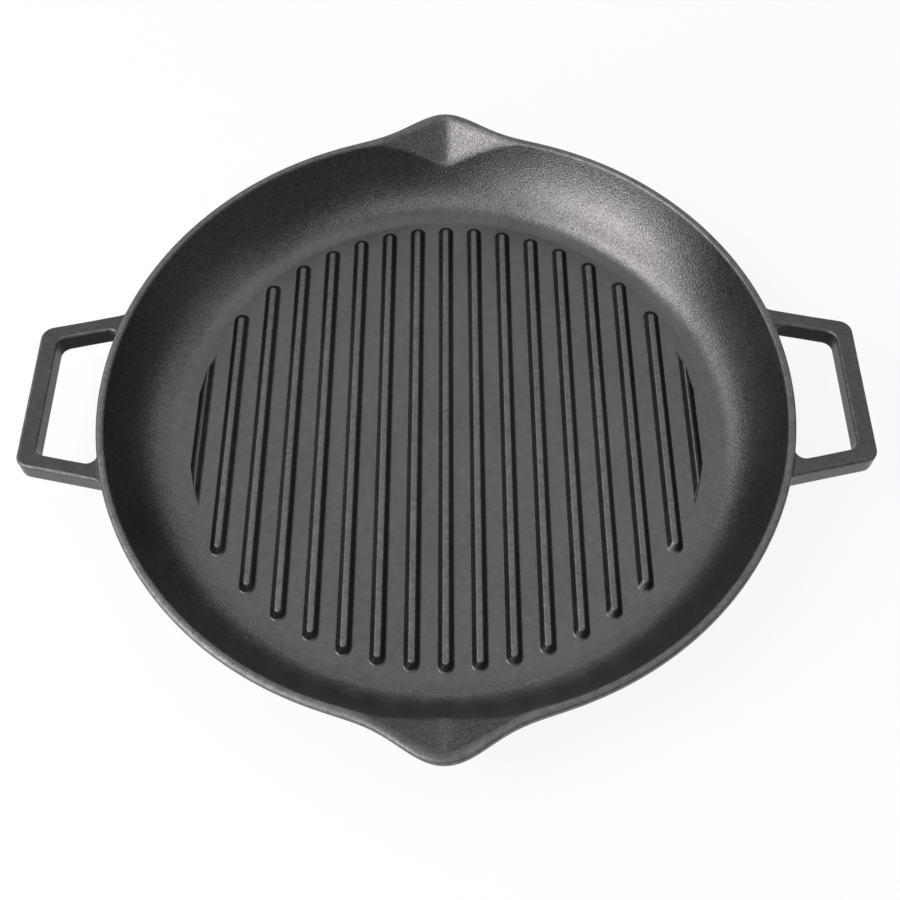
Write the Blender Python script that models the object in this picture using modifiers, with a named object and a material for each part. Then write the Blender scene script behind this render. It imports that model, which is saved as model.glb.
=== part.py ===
"""Round cast-iron griddle plate.

A flat cooking floor with straight ribs, a flared wall with two pouring spouts and two loop handles.
The real plate is one casting. Each of its features is a solid of its own here.

Lengths are in metres and +Z is up. The origin is the centre of the flat underside, +X runs through
the right handle and +Y through the back spout.
"""

import math

import bmesh
import bpy
from mathutils import Matrix
from mathutils import Vector

# Pan, measured on the finished casting
RIM_RADIUS = 0.150
RIM_WIDTH = 0.0032
RIM_EDGE_RADIUS = 0.0008
RIM_BAND = 0.0030
RIM_SLOPE = math.radians(70.0)
PAN_DEPTH = 0.0335
FLOOR_THICKNESS = 0.0045
WALL_THICKNESS = 0.0042
WALL_RUN = 0.0273

# Spouts: an outline drawn out of the rim, and the V-shaped groove that leads to its tip
SPOUT_REACH = 0.0132
SPOUT_SPREAD = 0.0143
SPOUT_LIP = 0.0025
SPOUT_DEPTH = 0.0145
SPOUT_HALF_ANGLE = math.radians(16.0)
GROOVE_SLOPE = math.radians(34.5)
GROOVE_BLEND = 0.0025

# Ribs: a row of equal bars on the floor, with a narrower one at each end of the row
RIB_PITCH = 0.0140
RIB_HEIGHT = 0.0030
RIB_BASE_WIDTH = 0.0067
RIB_CROWN_WIDTH = 0.0029
RIB_CROWN_RADIUS = 0.0006
RIB_END_SLOPE = 0.0030
RIB_END_MARGIN = 0.0027
EDGE_RIB_TRIM = 0.0014
EDGE_RIB_MARGIN = 0.0010
EDGE_RIB_DRAFT = 0.0005

# Handles: a bar across the end of two arms that splay out towards the pan
HANDLE_REACH = 0.0315
HANDLE_HALF_LENGTH = 0.0351
HANDLE_SPLAY = math.radians(12.3)
HANDLE_BAR_WIDTH = 0.0078
HANDLE_ARM_WIDTH = 0.0071
HANDLE_THICKNESS = 0.0100
HANDLE_DROP = 0.0035
HANDLE_OUTER_RADIUS = 0.0060
HANDLE_INNER_RADIUS = 0.0050
HANDLE_EDGE_RADIUS = 0.0009
ROOT_OUTER_RADIUS = 0.0060
ROOT_INNER_RADIUS = 0.0045
ROOT_LEDGE = 0.0008
ROOT_RUN_OUT = 0.0022
ROOT_EMBED = 0.0100

# Gap between neighbouring solids
SEAM = 0.0003

# Smoothness of the facets
WALL_STEP = math.radians(5.0)
SPOUT_STEP = math.radians(1.25)
WALL_SEGMENTS = 10
CORNER_SEGMENTS = 4
FLOOR_SIDES = 120
SEAT_SIDES = 180
RIB_SIDES = 18
EDGE_RIB_SEGMENTS = 4
BEVEL_SEGMENTS = 2
SMOOTH_ANGLE = math.radians(35.0)
FLAT_ANGLE = math.radians(0.5)
MERGE_DISTANCE = 0.00001

# Sizes that follow from the ones above
PAN_HEIGHT = FLOOR_THICKNESS + PAN_DEPTH
RIM_INNER_RADIUS = RIM_RADIUS - RIM_WIDTH
FLOOR_RADIUS = RIM_INNER_RADIUS - WALL_RUN
RIB_FIELD_RADIUS = FLOOR_RADIUS - RIB_END_MARGIN
EDGE_RIB_RADIUS = RIB_FIELD_RADIUS - EDGE_RIB_MARGIN
HANDLE_TOP = PAN_HEIGHT - HANDLE_DROP
HANDLE_END = RIM_RADIUS + HANDLE_REACH


def clear_scene():
    """Remove whatever the scene holds."""
    for item in list(bpy.data.objects):
        bpy.data.objects.remove(item, do_unlink=True)


def new_collection(name):
    """Add a collection to the scene."""
    collection = bpy.data.collections.new(name)
    bpy.context.scene.collection.children.link(collection)
    return collection


def cast_iron(name, grey, roughness):
    """Seasoned cast iron: a near-black, slightly oily finish."""
    colour = (grey, grey * 0.97, grey, 1.0)
    material = bpy.data.materials.new(name)
    material.use_nodes = True
    shader = material.node_tree.nodes["Principled BSDF"]
    shader.inputs["Base Color"].default_value = colour
    shader.inputs["Roughness"].default_value = roughness
    shader.inputs["Metallic"].default_value = 0.15
    material.diffuse_color = colour
    return material


def add_part(name, mesh, collection, material, turn=0.0, location=(0.0, 0.0, 0.0)):
    """Link a mesh into the collection as a named part, turned about the vertical."""
    part = bpy.data.objects.new(name, mesh)
    part.location = location
    part.rotation_euler = (0.0, 0.0, turn)
    part.data.materials.clear()
    part.data.materials.append(material)
    collection.objects.link(part)
    return part


def mesh_from(name, shape):
    """Turn an edit mesh into a smooth-shaded mesh whose faces point outwards."""
    bmesh.ops.recalc_face_normals(shape, faces=shape.faces)
    mesh = bpy.data.meshes.new(name)
    shape.to_mesh(mesh)
    shape.free()
    mesh.shade_smooth()
    mesh.set_sharp_from_angle(angle=SMOOTH_ANGLE)
    return mesh


def join_rings(shape, ring, following):
    """Faces between two closed rings of as many points."""
    for index in range(len(ring)):
        shape.faces.new((ring[index - 1], ring[index], following[index], following[index - 1]))


def round_corner(before, corner, after, radius):
    """Points of the arc that rounds a corner between two straight edges."""
    inward = (before - corner).normalized()
    onward = (after - corner).normalized()
    half_angle = inward.angle(onward) / 2.0
    run = radius / math.tan(half_angle)
    start = corner + inward * run
    end = corner + onward * run
    centre = corner + (inward + onward).normalized() * (radius / math.sin(half_angle))
    turn = (start - centre).angle_signed(end - centre)
    points = []
    for step in range(CORNER_SEGMENTS + 1):
        spin = Matrix.Rotation(-turn * step / CORNER_SEGMENTS, 2)
        points.append(centre + spin @ (start - centre))
    return points


def rounded_outline(corners):
    """Closed outline through (point, radius) corners, with an arc wherever the radius isn't zero."""
    points = []
    for index, (corner, radius) in enumerate(corners):
        if radius == 0.0:
            points.append(corner)
            continue
        before = corners[index - 1][0]
        after = corners[(index + 1) % len(corners)][0]
        points.extend(round_corner(before, corner, after, radius))
    return points


def wall_point(along):
    """Radius, height and slope of the wall's inner face, from the floor (0) to the rim (1).

    The face is a parabola that leaves the floor level and meets the rim at RIM_SLOPE.
    """
    bend_radius = RIM_INNER_RADIUS - PAN_DEPTH / math.tan(RIM_SLOPE)
    foot = Vector((FLOOR_RADIUS, FLOOR_THICKNESS))
    bend = Vector((bend_radius, FLOOR_THICKNESS))
    head = Vector((RIM_INNER_RADIUS, PAN_HEIGHT))
    point = foot * (1.0 - along) ** 2 + bend * 2.0 * along * (1.0 - along) + head * along**2
    course = (bend - foot) * (1.0 - along) + (head - bend) * along
    return point, course.normalized()


def outer_wall_point(along):
    """The wall's outer face: the inner face moved out by its thickness, and never past the rim."""
    point, course = wall_point(along)
    thickness = FLOOR_THICKNESS + (WALL_THICKNESS - FLOOR_THICKNESS) * along
    outwards = Vector((course.y, -course.x))
    outer = point + outwards * thickness
    return Vector((min(outer.x, RIM_RADIUS), outer.y))


def outer_face():
    """The outer face from top to bottom: the rim's upright band, then the wall down to its foot."""
    points = [Vector((RIM_RADIUS, PAN_HEIGHT - RIM_BAND))]
    for step in range(WALL_SEGMENTS - 1, -1, -1):
        points.append(outer_wall_point(step / WALL_SEGMENTS))
    return points


def spout_bulge(angle):
    """How far the rim is drawn out at an angle from the spout's middle: a bell-shaped outline."""
    sideways = RIM_RADIUS * math.sin(angle)
    return SPOUT_REACH * math.exp(-0.5 * (sideways / SPOUT_SPREAD) ** 2)


def spout_rise(height):
    """Share of the bulge that the outer face has at a height: none at its root, all of it by the rim."""
    below_rim = PAN_HEIGHT - height
    share = (SPOUT_DEPTH - below_rim) / (SPOUT_DEPTH - RIM_BAND)
    return min(max(share, 0.0), 1.0)


def groove_radius(height, angle):
    """Radius of the groove's V-shaped sides, which run as steeply as the flanks of the bulge.

    A side ends where it comes nearest to the pan's axis, well past the point where it meets the wall.
    """
    flank = SPOUT_REACH / SPOUT_SPREAD * math.exp(-0.5)
    if abs(angle) > math.atan(flank):
        return 0.0
    tip = RIM_RADIUS + SPOUT_REACH - SPOUT_LIP
    reach = tip - (PAN_HEIGHT - height) / math.tan(GROOVE_SLOPE)
    return reach / (math.cos(angle) + flank * abs(math.sin(angle)))


def soft_max(first, second, blend):
    """The larger value, eased where the two come within the blend of each other."""
    ease = max(blend - abs(first - second), 0.0) / blend
    return max(first, second) + ease * ease * blend / 4.0


def drawn_inner(point, angle):
    """A point of the inner face, moved out to the groove where that lies deeper."""
    return Vector((soft_max(point.x, groove_radius(point.y, angle), GROOVE_BLEND), point.y))


def drawn_outer(point, angle):
    """A point of the outer face, moved out with the spout."""
    return Vector((point.x + spout_bulge(angle) * spout_rise(point.y), point.y))


def wall_section(angle):
    """Closed (radius, height) section of the wall at an angle from the nearer spout's middle."""
    corners = []
    for step in range(WALL_SEGMENTS):
        corners.append((drawn_inner(wall_point(step / WALL_SEGMENTS)[0], angle), 0.0))
    rim_inside = drawn_inner(Vector((RIM_INNER_RADIUS, PAN_HEIGHT)), angle)
    rim_outside = drawn_outer(Vector((RIM_RADIUS, PAN_HEIGHT)), angle)
    corners.append((rim_inside, RIM_EDGE_RADIUS))
    corners.append((rim_outside, RIM_EDGE_RADIUS))
    corners.extend((drawn_outer(point, angle), 0.0) for point in outer_face())
    return rounded_outline(corners)


def loft_round_axis(shape, start, end, step, spout_angle):
    """Wall sections from one angle to another, joined face to face and closed at both ends."""
    count = 2 * math.ceil((end - start) / step / 2.0)
    rings = []
    for index in range(count + 1):
        angle = start + (end - start) * index / count
        across = Vector((math.cos(angle), math.sin(angle), 0.0))
        ring = []
        for radius, height in wall_section(spout_angle(angle)):
            ring.append(shape.verts.new(across * radius + Vector((0.0, 0.0, height))))
        rings.append(ring)
    for ring, following in zip(rings, rings[1:]):
        join_rings(shape, ring, following)
    shape.faces.new(rings[0])
    shape.faces.new(rings[-1])


def side_wall_mesh():
    """The right-hand stretch of wall, between the two spouts."""
    reach = math.pi / 2.0 - SPOUT_HALF_ANGLE
    shape = bmesh.new()
    loft_round_axis(shape, -reach, reach, WALL_STEP, lambda angle: math.pi / 2.0 - abs(angle))
    return mesh_from("side_wall", shape)


def spout_mesh():
    """The back spout, with a seam's gap to the stretches of wall beside it."""
    reach = SPOUT_HALF_ANGLE - SEAM / FLOOR_RADIUS
    middle = math.pi / 2.0
    shape = bmesh.new()
    loft_round_axis(shape, middle - reach, middle + reach, SPOUT_STEP, lambda angle: angle - middle)
    return mesh_from("spout", shape)


def cooking_floor(collection):
    """The flat floor: a disc that fills the wall's foot."""
    bpy.ops.mesh.primitive_cylinder_add(
        vertices=FLOOR_SIDES,
        radius=FLOOR_RADIUS - SEAM,
        depth=FLOOR_THICKNESS,
        location=(0.0, 0.0, FLOOR_THICKNESS / 2.0),
    )
    floor = bpy.context.object
    floor.name = "cooking_floor"
    floor.data.shade_smooth()
    floor.data.set_sharp_from_angle(angle=SMOOTH_ANGLE)
    floor.data.materials.append(cast_iron("floor_iron", 0.060, 0.50))
    for owner in list(floor.users_collection):
        owner.objects.unlink(floor)
    collection.objects.link(floor)


def pan_wall(collection):
    """Two stretches of wall and the two spouts between them."""
    wall = side_wall_mesh()
    spout = spout_mesh()
    add_part("right_wall", wall, collection, cast_iron("wall_iron", 0.055, 0.52))
    add_part("left_wall", wall, collection, wall.materials[0], turn=math.pi)
    add_part("back_spout", spout, collection, cast_iron("spout_iron", 0.058, 0.52))
    add_part("front_spout", spout, collection, spout.materials[0], turn=math.pi)


def soften_crown(shape):
    """Round the edges between a rib's flat crown and its sloping sides."""
    crown = max(shape.faces, key=lambda face: face.calc_center_median().z)
    bmesh.ops.bevel(
        shape,
        geom=list(crown.edges),
        offset=RIB_CROWN_RADIUS,
        segments=BEVEL_SEGMENTS,
        profile=0.5,
        affect="EDGES",
        clamp_overlap=True,
    )


def full_rib_mesh(name, half_length):
    """A full rib: a blunt cone pulled apart along Y into a bar with round, sloping ends."""
    side_share = math.cos(math.pi / RIB_SIDES)
    base = RIB_BASE_WIDTH / 2.0
    crown = RIB_CROWN_WIDTH / 2.0
    shape = bmesh.new()
    bmesh.ops.create_cone(
        shape,
        cap_ends=True,
        segments=RIB_SIDES,
        radius1=base / side_share,
        radius2=crown / side_share,
        depth=RIB_HEIGHT,
        matrix=Matrix.Translation((0.0, 0.0, RIB_HEIGHT / 2.0)),
    )
    widest = max(shape.verts, key=lambda vert: vert.co.x)
    spin = math.pi / RIB_SIDES - math.atan2(widest.co.y, widest.co.x)
    bmesh.ops.rotate(shape, verts=shape.verts, matrix=Matrix.Rotation(spin, 3, "Z"))
    for vert in shape.verts:
        on_crown = vert.co.z > RIB_HEIGHT / 2.0
        end_radius = crown + RIB_END_SLOPE if on_crown else base
        vert.co.y += math.copysign(half_length - end_radius, vert.co.y)
    soften_crown(shape)
    return mesh_from(name, shape)


def edge_rib_outline(inside, outside, circle):
    """Plan of an edge rib: straight inner and outer sides, with ends that follow the rib circle."""
    tip = math.acos(inside / circle)
    shoulder = math.acos(min(outside / circle, 1.0))
    upper = []
    for step in range(EDGE_RIB_SEGMENTS + 1):
        angle = tip + (shoulder - tip) * step / EDGE_RIB_SEGMENTS
        upper.append(Vector((circle * math.cos(angle), circle * math.sin(angle), 0.0)))
    lower = [Vector((point.x, -point.y, 0.0)) for point in reversed(upper)]
    return upper + lower


def edge_rib_mesh(name, centre):
    """An edge rib: a narrower foot and crown than a full rib's, both cut off by the rib circle."""
    inside = centre - RIB_BASE_WIDTH / 2.0
    outside = centre + RIB_BASE_WIDTH / 2.0 - EDGE_RIB_TRIM
    side_slope = (RIB_BASE_WIDTH - RIB_CROWN_WIDTH) / 2.0
    foot = edge_rib_outline(inside, outside, EDGE_RIB_RADIUS)
    crown = edge_rib_outline(inside + side_slope, outside - side_slope, EDGE_RIB_RADIUS - EDGE_RIB_DRAFT)
    shape = bmesh.new()
    foot_ring = [shape.verts.new(point - Vector((centre, 0.0, 0.0))) for point in foot]
    crown_ring = [shape.verts.new(point - Vector((centre, 0.0, -RIB_HEIGHT))) for point in crown]
    join_rings(shape, foot_ring, crown_ring)
    shape.faces.new(foot_ring)
    shape.faces.new(crown_ring)
    soften_crown(shape)
    return mesh_from(name, shape)


def rib(name, mesh, across, collection):
    """One rib, standing on the floor; left of the middle it is turned end for end."""
    iron = cast_iron(f"{name}_iron", 0.066, 0.46)
    turn = math.pi if across < 0.0 else 0.0
    add_part(name, mesh, collection, iron, turn, (across, 0.0, FLOOR_THICKNESS))


def rib_row(collection):
    """The middle rib, then pairs of ribs from the middle outwards, with an edge rib on each side."""
    rib("middle_rib", full_rib_mesh("middle_rib", RIB_FIELD_RADIUS), 0.0, collection)
    last = int((EDGE_RIB_RADIUS - RIB_BASE_WIDTH / 2.0) / RIB_PITCH)
    for index in range(1, last):
        centre = index * RIB_PITCH
        mesh = full_rib_mesh("full_rib", math.sqrt(RIB_FIELD_RADIUS**2 - centre**2))
        rib(f"right_rib_{index}", mesh, centre, collection)
        rib(f"left_rib_{index}", mesh.copy(), -centre, collection)
    mesh = edge_rib_mesh("edge_rib", last * RIB_PITCH)
    rib("right_edge_rib", mesh, last * RIB_PITCH, collection)
    rib("left_edge_rib", mesh.copy(), -last * RIB_PITCH, collection)


def root_points(edge_offset, towards):
    """Where one edge of the upper arm meets the pan, and the ledge that its root fillet runs out on.

    The edge lies edge_offset in from the arm's outer edge, and the ledge leads away from it along the
    rim, upwards (1) or downwards (-1).
    """
    course = Vector((math.cos(HANDLE_SPLAY), -math.sin(HANDLE_SPLAY)))
    corner = Vector((HANDLE_END, HANDLE_HALF_LENGTH))
    inwards = Vector((course.y, -course.x))
    start = corner + inwards * edge_offset
    seat_radius = RIM_RADIUS + ROOT_LEDGE
    along = start.dot(course)
    back = math.sqrt(seat_radius**2 - start.length_squared + along**2) - along
    meeting = start + course * back
    rim_course = Vector((-meeting.y, meeting.x)).normalized() * towards
    radius = ROOT_OUTER_RADIUS if towards > 0.0 else ROOT_INNER_RADIUS
    half_angle = rim_course.angle(course) / 2.0
    ledge = meeting + rim_course * (radius / math.tan(half_angle) + ROOT_RUN_OUT)
    buried = ledge - meeting.normalized() * ROOT_EMBED
    return [(buried, 0.0), (ledge, 0.0), (meeting, radius)]


def handle_outline():
    """Plan of the right handle: once round its outside, then back along its window."""
    splay = math.tan(HANDLE_SPLAY)
    bar_inside = HANDLE_END - HANDLE_BAR_WIDTH
    arm_width = HANDLE_ARM_WIDTH / math.cos(HANDLE_SPLAY)
    window = HANDLE_HALF_LENGTH + HANDLE_BAR_WIDTH * splay - arm_width
    outside = root_points(0.0, 1.0)
    outside.append((Vector((HANDLE_END, HANDLE_HALF_LENGTH)), HANDLE_OUTER_RADIUS))
    inside = root_points(HANDLE_ARM_WIDTH, -1.0)
    inside.append((Vector((bar_inside, window)), HANDLE_INNER_RADIUS))
    across = Vector((1.0, -1.0))
    outside_below = [(point * across, radius) for point, radius in reversed(outside)]
    inside_below = [(point * across, radius) for point, radius in inside]
    return rounded_outline(outside + outside_below + inside_below + list(reversed(inside)))


def handle_mesh():
    """The right handle as a flat bar outline with a thickness."""
    curve = bpy.data.curves.new("handle_outline", "CURVE")
    curve.dimensions = "2D"
    curve.fill_mode = "BOTH"
    curve.extrude = HANDLE_THICKNESS / 2.0
    points = handle_outline()
    spline = curve.splines.new("POLY")
    spline.points.add(len(points) - 1)
    spline.use_cyclic_u = True
    for target, point in zip(spline.points, points):
        target.co = (point.x, point.y, 0.0, 1.0)
    outline = bpy.data.objects.new("handle_outline", curve)
    bpy.context.scene.collection.objects.link(outline)
    graph = bpy.context.evaluated_depsgraph_get()
    flat = bpy.data.meshes.new_from_object(outline.evaluated_get(graph))
    bpy.data.objects.remove(outline, do_unlink=True)
    shape = bmesh.new()
    shape.from_mesh(flat)
    bmesh.ops.remove_doubles(shape, verts=shape.verts, dist=MERGE_DISTANCE)
    bmesh.ops.dissolve_limit(shape, angle_limit=FLAT_ANGLE, verts=shape.verts, edges=shape.edges)
    return mesh_from("handle", shape)


def handle_seat(cutters):
    """Cutter with the pan's turned outer face, one seam's gap larger."""
    profile = [Vector((0.0, PAN_HEIGHT)), Vector((RIM_RADIUS, PAN_HEIGHT))]
    profile.extend(outer_face())
    profile.append(Vector((0.0, 0.0)))
    mesh = bpy.data.meshes.new("handle_seat")
    points = [(point.x + SEAM if point.x > 0.0 else 0.0, 0.0, point.y) for point in profile]
    edges = [(index, index + 1) for index in range(len(points) - 1)]
    mesh.from_pydata(points, edges, [])
    seat = bpy.data.objects.new("handle_seat", mesh)
    cutters.objects.link(seat)
    screw = seat.modifiers.new("turn", "SCREW")
    screw.steps = SEAT_SIDES
    screw.render_steps = SEAT_SIDES
    screw.use_merge_vertices = True
    screw.merge_threshold = MERGE_DISTANCE
    seat.hide_render = True
    seat.display_type = "WIRE"
    return seat


def handle(name, turn, mesh, seat, collection):
    """One handle with softened edges, its arms cut to the pan's outer face."""
    part = add_part(name, mesh, collection, mesh.materials[0], turn)
    part.location.z = HANDLE_TOP - HANDLE_THICKNESS / 2.0
    edges = part.modifiers.new("edges", "BEVEL")
    edges.width = HANDLE_EDGE_RADIUS
    edges.segments = BEVEL_SEGMENTS
    edges.limit_method = "ANGLE"
    edges.angle_limit = SMOOTH_ANGLE
    cut = part.modifiers.new("seat", "BOOLEAN")
    cut.operation = "DIFFERENCE"
    cut.object = seat


def handles(collection, cutters):
    """The two handles, opposite each other."""
    mesh = handle_mesh()
    mesh.materials.append(cast_iron("handle_iron", 0.062, 0.50))
    seat = handle_seat(cutters)
    handle("right_handle", 0.0, mesh, seat, collection)
    handle("left_handle", math.pi, mesh, seat, collection)


def main():
    clear_scene()
    parts = new_collection("griddle_plate")
    cutters = new_collection("cutters")
    cooking_floor(parts)
    pan_wall(parts)
    rib_row(parts)
    handles(parts, cutters)


main()
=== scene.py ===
"""Looks of a round cast-iron griddle plate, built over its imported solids.

Run as a script, it makes the pan, the ribs, the handles and the studio around them. Lengths are in
metres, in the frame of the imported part: +X runs through the right handle, +Y through the back spout
and +Z up out of the dish.
"""

import bpy
import numpy as np
from mathutils import Matrix
from mathutils import Vector


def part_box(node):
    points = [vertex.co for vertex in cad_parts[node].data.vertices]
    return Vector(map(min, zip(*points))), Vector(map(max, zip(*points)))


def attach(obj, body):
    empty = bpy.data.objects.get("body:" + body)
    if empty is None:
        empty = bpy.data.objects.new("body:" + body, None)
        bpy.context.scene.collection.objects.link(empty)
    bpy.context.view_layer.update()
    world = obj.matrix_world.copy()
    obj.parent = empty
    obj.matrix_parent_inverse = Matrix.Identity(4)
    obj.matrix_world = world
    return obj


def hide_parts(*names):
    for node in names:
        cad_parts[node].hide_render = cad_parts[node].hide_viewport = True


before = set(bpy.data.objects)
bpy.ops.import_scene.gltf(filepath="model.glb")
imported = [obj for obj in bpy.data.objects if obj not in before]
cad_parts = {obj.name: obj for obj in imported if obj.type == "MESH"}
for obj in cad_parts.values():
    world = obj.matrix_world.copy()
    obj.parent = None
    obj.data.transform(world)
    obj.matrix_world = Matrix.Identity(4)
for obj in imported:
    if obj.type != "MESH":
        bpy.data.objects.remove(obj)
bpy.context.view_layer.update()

bl_info = {
    "name": "Round griddle plate",
    "version": (1, 0, 0),
    "blender": (4, 5, 0),
    "location": "View3D > Sidebar > Griddle",
    "description": "Builds the finished surfaces of a round cast-iron griddle plate",
    "category": "Object",
}

FLOOR_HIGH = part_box("cooking_floor")[1]
WALL_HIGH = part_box("right_wall")[1]
SPOUT_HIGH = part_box("back_spout")[1]
HANDLE_LOW, HANDLE_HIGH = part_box("right_handle")
RIB_LOW, RIB_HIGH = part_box("middle_rib")

PAN_NODES = ("cooking_floor", "left_wall", "right_wall", "back_spout", "front_spout")
RIB_NODES = sorted(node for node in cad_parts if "rib" in node)

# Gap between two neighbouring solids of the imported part.
SEAM = 0.0003

# The pan's skin: columns along one side and across one spout, and where they meet, in degrees
# from +X. Then its rings up the inner face and down the outer face.
SIDE_COLUMNS = 120
SPOUT_COLUMNS = 140
SPOUT_START = 70.0
INNER_RINGS = 88
OUTER_RINGS = 34
OUTER_START = 0.93
FLOOR_SHARES = (0.2, 0.45, 0.7, 0.88, 0.97)
BASE_SHARES = (0.97, 0.85, 0.6, 0.3)
WALL_EASE = 0.001

# Points round the corners and along the sides of the ribs' and handles' outlines.
CORNER_POINTS = 11
BAR_SIDE_POINTS = 12
EDGE_ARC_POINTS = 9
EDGE_SIDE_POINTS = 10
STRAIGHT_POINTS = 8

# How far a handle's ends reach into the pan's wall.
ROOT_OVERLAP = 0.0012

# How sandy each surface is and how much it is darkened, where 1 is the most: painted shade at the
# ribs' feet and sides and in the handles' windows, and an even darkening over the rest of each
# handle. From the floor's middle to the rim the sand grows by SAND_RISE in equal steps, but stays
# between FLOOR_SAND and 1.
FLOOR_SAND = 0.25
SAND_RISE = 2.5
RIM_SAND = 0.5
RIB_SAND = 0.6
HANDLE_SAND = 0.35
RIB_FOOT_SHADE = 0.2
RIB_SIDE_SHADE = 0.55
HANDLE_DARKENING = 0.38

# Lumps per metre of the noises that the finish is made of.
SWELLS = 85.0
CLOUDS = 22.0
FLECKS = 240.0
RUBBED_PATCHES = 380.0

# How much those noises change the tone, the dryness and the rubbed edges.
BASE_TONE = 0.60
CLOUD_TONE = 0.35
FLECK_TONE = 0.45
CLOUD_DRYNESS = 0.6
FLECK_DRYNESS = 0.4
DRYNESS_SHARE = 0.20
RUB_START = 0.40
RUB_SLOPE = 3.5
RUB_SHARE = 0.5

# The studio floor's plan and rise, as shares of its size, and how far it lies below the pan.
FLOOR_SIDES = 96
FLOOR_MIDDLE = 0.3
FLOOR_BEND = 0.8
FLOOR_RISE = 0.2
FLOOR_DROP = 0.0002

# The sky's bright direction, the range of the cosine to it that brightens, and the ramp's power.
SKY_AXIS = (0.0, 0.5, 0.866)
SKY_START = 0.15
SKY_FULL = 0.95
SKY_POWER = 1.5


def length(name, description, default):
    """A length that a user may change."""
    return bpy.props.FloatProperty(
        name=name, description=description, default=default, min=0.0, precision=5, unit="LENGTH"
    )


def angle(name, description, degrees):
    """An angle that a user may change."""
    return bpy.props.FloatProperty(
        name=name, description=description, default=float(np.radians(degrees)), subtype="ANGLE"
    )


def number(name, description, default):
    """A plain number that a user may change."""
    return bpy.props.FloatProperty(name=name, description=description, default=default, precision=4)


def colour(name, description, default):
    """A colour that a user may change."""
    return bpy.props.FloatVectorProperty(
        name=name,
        description=description,
        default=default,
        size=3,
        min=0.0,
        max=1.0,
        subtype="COLOR",
    )


class GriddlePanSizes(bpy.types.PropertyGroup):
    """Sizes of the floor, the wall and the rim."""

    rim_radius: length("Rim radius", "Outside radius of the rim", WALL_HIGH.x)
    rim_height: length("Rim height", "Height of the rim's top", WALL_HIGH.z)
    rim_width: length("Rim width", "Width of the rim's flat top", 0.0032)
    rim_rounding: length("Inner rounding", "How far the rim's inner edge is rounded", 0.0008)
    rim_outer_rounding: length("Outer rounding", "How far the rim's outer edge is rounded", 0.0019)
    rim_band: length("Rim band", "Height of the upright band under the rim", 0.0030)
    rim_slope: angle("Rim slope", "Slope of the wall where it meets the rim", 70.0)
    floor_radius: length("Floor radius", "Radius of the flat floor", FLOOR_HIGH.x + SEAM)
    floor_height: length("Floor height", "Height of the floor's top", FLOOR_HIGH.z)
    wall_thickness: length("Wall thickness", "Thickness of the wall at the rim", 0.0042)


class GriddleSpoutSizes(bpy.types.PropertyGroup):
    """Sizes of the two pouring spouts."""

    reach: length("Reach", "How far a tip stands out of the rim", SPOUT_HIGH.y - WALL_HIGH.x)
    spread: length("Spread", "Half width of the outline at which it bends back", 0.0143)
    lip: length("Lip", "Thickness of the rim at the tip", 0.0025)
    depth: length("Depth", "How far below the rim the outside begins to swell", 0.0145)
    groove_slope: angle("Groove slope", "Slope of the groove's crease", 34.5)
    crease: length("Crease", "How far the groove's crease is rounded", 0.0028)
    blend: length("Blend", "How softly the groove runs into the wall", 0.0016)


class GriddleRibSizes(bpy.types.PropertyGroup):
    """Sizes of the ribs."""

    height: length("Height", "Height of a rib over the floor", RIB_HIGH.z - RIB_LOW.z)
    foot_width: length("Foot width", "Width of a rib at the floor", RIB_HIGH.x - RIB_LOW.x)
    crown_width: length("Crown width", "Width of a crown between the middles of its bends", 0.0024)
    end_slope: length("End slope", "Length of the slope at a rib's end", 0.0030)
    fillet: length("Fillet", "How far a rib's foot runs out onto the floor", 0.0004)
    edge_draft: length("Edge draft", "How far an edge rib's outer side leans in", 0.0005)
    depth: length("Root depth", "How far a rib's skin reaches into the floor", 0.0004)


class GriddleHandleSizes(bpy.types.PropertyGroup):
    """Sizes of the two handles."""

    end: length("End", "Distance of the grip's outer face from the pan's axis", HANDLE_HIGH.x)
    half_length: length("Half length", "Half the length of the grip's outer face", 0.0351)
    splay: angle("Splay", "How far each arm splays out towards the pan", 12.3)
    bar_width: length("Bar width", "Width of the grip", 0.0078)
    arm_width: length("Arm width", "Width of an arm", 0.0071)
    top: length("Top", "Height of the handle's top", HANDLE_HIGH.z)
    thickness: length("Thickness", "Thickness of the handle", HANDLE_HIGH.z - HANDLE_LOW.z)
    edge: length("Edge", "Rounding of the handle's edges", 0.0013)
    outer_corner: length("Outer corner", "Radius of the outer corners", 0.0060)
    inner_corner: length("Inner corner", "Radius of the window's corners", 0.0050)
    outer_root: length("Outer root", "Radius of the fillet above and below each handle", 0.0070)
    inner_root: length("Inner root", "Radius of the fillets in the window", 0.0045)
    foot: length("Foot", "Radius of the fillet where the top face meets the rim", 0.0010)


class GriddleIronFinish(bpy.types.PropertyGroup):
    """Finish of the seasoned iron."""

    iron: colour("Iron", "Colour of the seasoned iron", (0.136, 0.1295, 0.1365))
    worn: colour("Worn iron", "Colour where an edge is rubbed", (0.24, 0.231, 0.241))
    metallic: number("Metallic", "How metallic the seasoned iron looks", 1.0)
    roughness: number("Roughness", "Roughness of the smooth iron", 0.31)
    coarse_roughness: number("Coarse roughness", "Roughness that the sand-cast skin adds", 0.03)
    edge_roughness: number("Edge roughness", "Roughness that a rubbed edge adds", 0.15)
    # Strength of the painted shade on the ribs' feet and sides and in the handles' windows.
    shade_level: number("Painted shade", "How much darker the handles' windows and the ribs' sides can get", 0.9)
    grain: number("Grain", "Grains per metre of the sand-cast skin", 1150.0)
    grain_height: length("Grain height", "Height of the sand-cast grain", 0.00018)
    # Painted highlight on the grain's peaks and painted shade in its pits.
    painted_grain_shade: number("Painted grain shade", "How much lighter the grain's peaks look than its pits", 1.9)


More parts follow.
